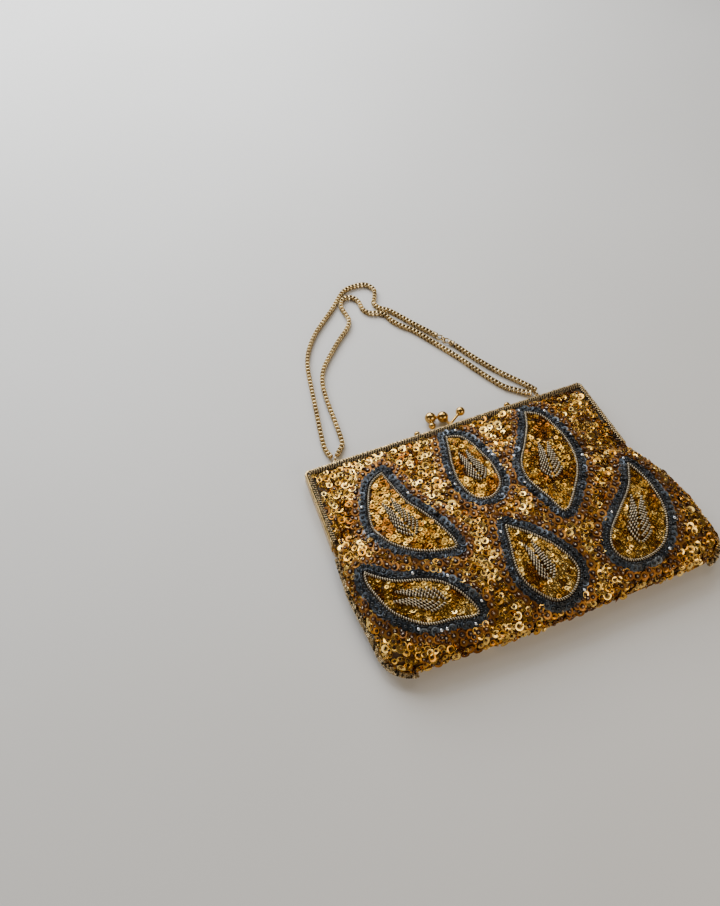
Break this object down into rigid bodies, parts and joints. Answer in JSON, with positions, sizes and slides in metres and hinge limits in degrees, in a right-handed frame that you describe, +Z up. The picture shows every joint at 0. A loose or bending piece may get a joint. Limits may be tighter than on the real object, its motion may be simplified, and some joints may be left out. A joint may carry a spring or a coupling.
{
  "type": "evening bag",
  "caption": "Beaded evening bag on a hinged metal frame with a kiss clasp, a lined sequinned pouch with raised leaf motifs, and a doubled box-chain handle, lying on its back.",
  "frame": {"origin": "middle of the box of the bag without its chain, on the surface that the bag lies on", "axes": "+X to the right of the front face along the frame's top bar, +Y from the pouch towards the clasp, +Z up out of the front face"},
  "size_m": [0.2225, 0.2954, 0.0242],
  "materials": {
    "frame_metal": "pale gold plate, lightly worn",
    "clasp_gold": "polished gold plate",
    "chain_gold": "polished gold plate",
    "sequin_cloth": "cloth covered with overlapping gold cup sequins, each held by a seed bead",
    "satin_lining": "cream satin",
    "dark_beads": "dark bronze and steel-grey glass and metal beads",
    "metal_thread": "tarnished silver-gold bullion wire"
  },
  "bodies": {
    "bag": {"rear_frame": "frame_metal", "hinge_pin_left": "frame_metal", "hinge_pin_right": "frame_metal", "chain_eye_left": "chain_gold", "chain_eye_right": "chain_gold", "chain_ring_left": "chain_gold", "chain_ring_right": "chain_gold", "chain_outer_long": "chain_gold", "chain_outer_short": "chain_gold", "chain_inner": "chain_gold", "chain_cap_upper": "chain_gold", "chain_cap_lower": "chain_gold", "joint_ring_upper": "chain_gold", "joint_ring_lower": "chain_gold", "joint_link": "chain_gold", "rear_panel": "sequin_cloth", "front_crease": "sequin_cloth", "front_panel_lower": "sequin_cloth", "rear_lining": "satin_lining", "front_lining_crease": "satin_lining", "front_lining_lower": "satin_lining", "inner_pocket": "satin_lining", "side_piping_left": "dark_beads", "side_piping_right": "dark_beads", "leaf_upper_left": "metal_thread", "leaf_upper_middle": "metal_thread", "leaf_upper_right": "metal_thread", "leaf_right": "metal_thread", "leaf_lower_left": "metal_thread", "leaf_bottom_middle": "metal_thread"},
    "front_half": {"front_frame": "frame_metal", "front_panel_upper": "sequin_cloth", "front_lining_upper": "satin_lining", "front_edge_trim": "dark_beads", "frame_stud_left": "clasp_gold", "frame_stud_right": "clasp_gold"},
    "front_prong": {"front_clasp_stem": "clasp_gold", "front_clasp_ball": "clasp_gold"},
    "rear_prong": {"rear_clasp_stem": "clasp_gold", "rear_clasp_ball": "clasp_gold", "rear_clasp_knuckle": "clasp_gold", "rear_clasp_bead": "clasp_gold"}
  },
  "joints": [
    {"name": "frame_opening", "type": "hinge", "parent": "bag", "child": "front_half", "pos_m": [0, 0.008, 0.00415], "axis": [1, 0, 0], "range_deg": [0, 70], "deforming": ["front_crease", "front_lining_crease", "leaf_upper_left", "leaf_upper_middle", "leaf_upper_right"]},
    {"name": "front_prong_flex", "type": "hinge", "parent": "front_half", "child": "front_prong", "pos_m": [-0.0035, 0.0676, 0.0058], "axis": [0, 0, 1], "range_deg": [-8, 8], "stiffness_Nm_per_rad": 0.03},
    {"name": "rear_prong_flex", "type": "hinge", "parent": "bag", "child": "rear_prong", "pos_m": [-0.002, 0.0676, 0.0026], "axis": [0, 0, 1], "range_deg": [-8, 8], "stiffness_Nm_per_rad": 0.03}
  ]
}
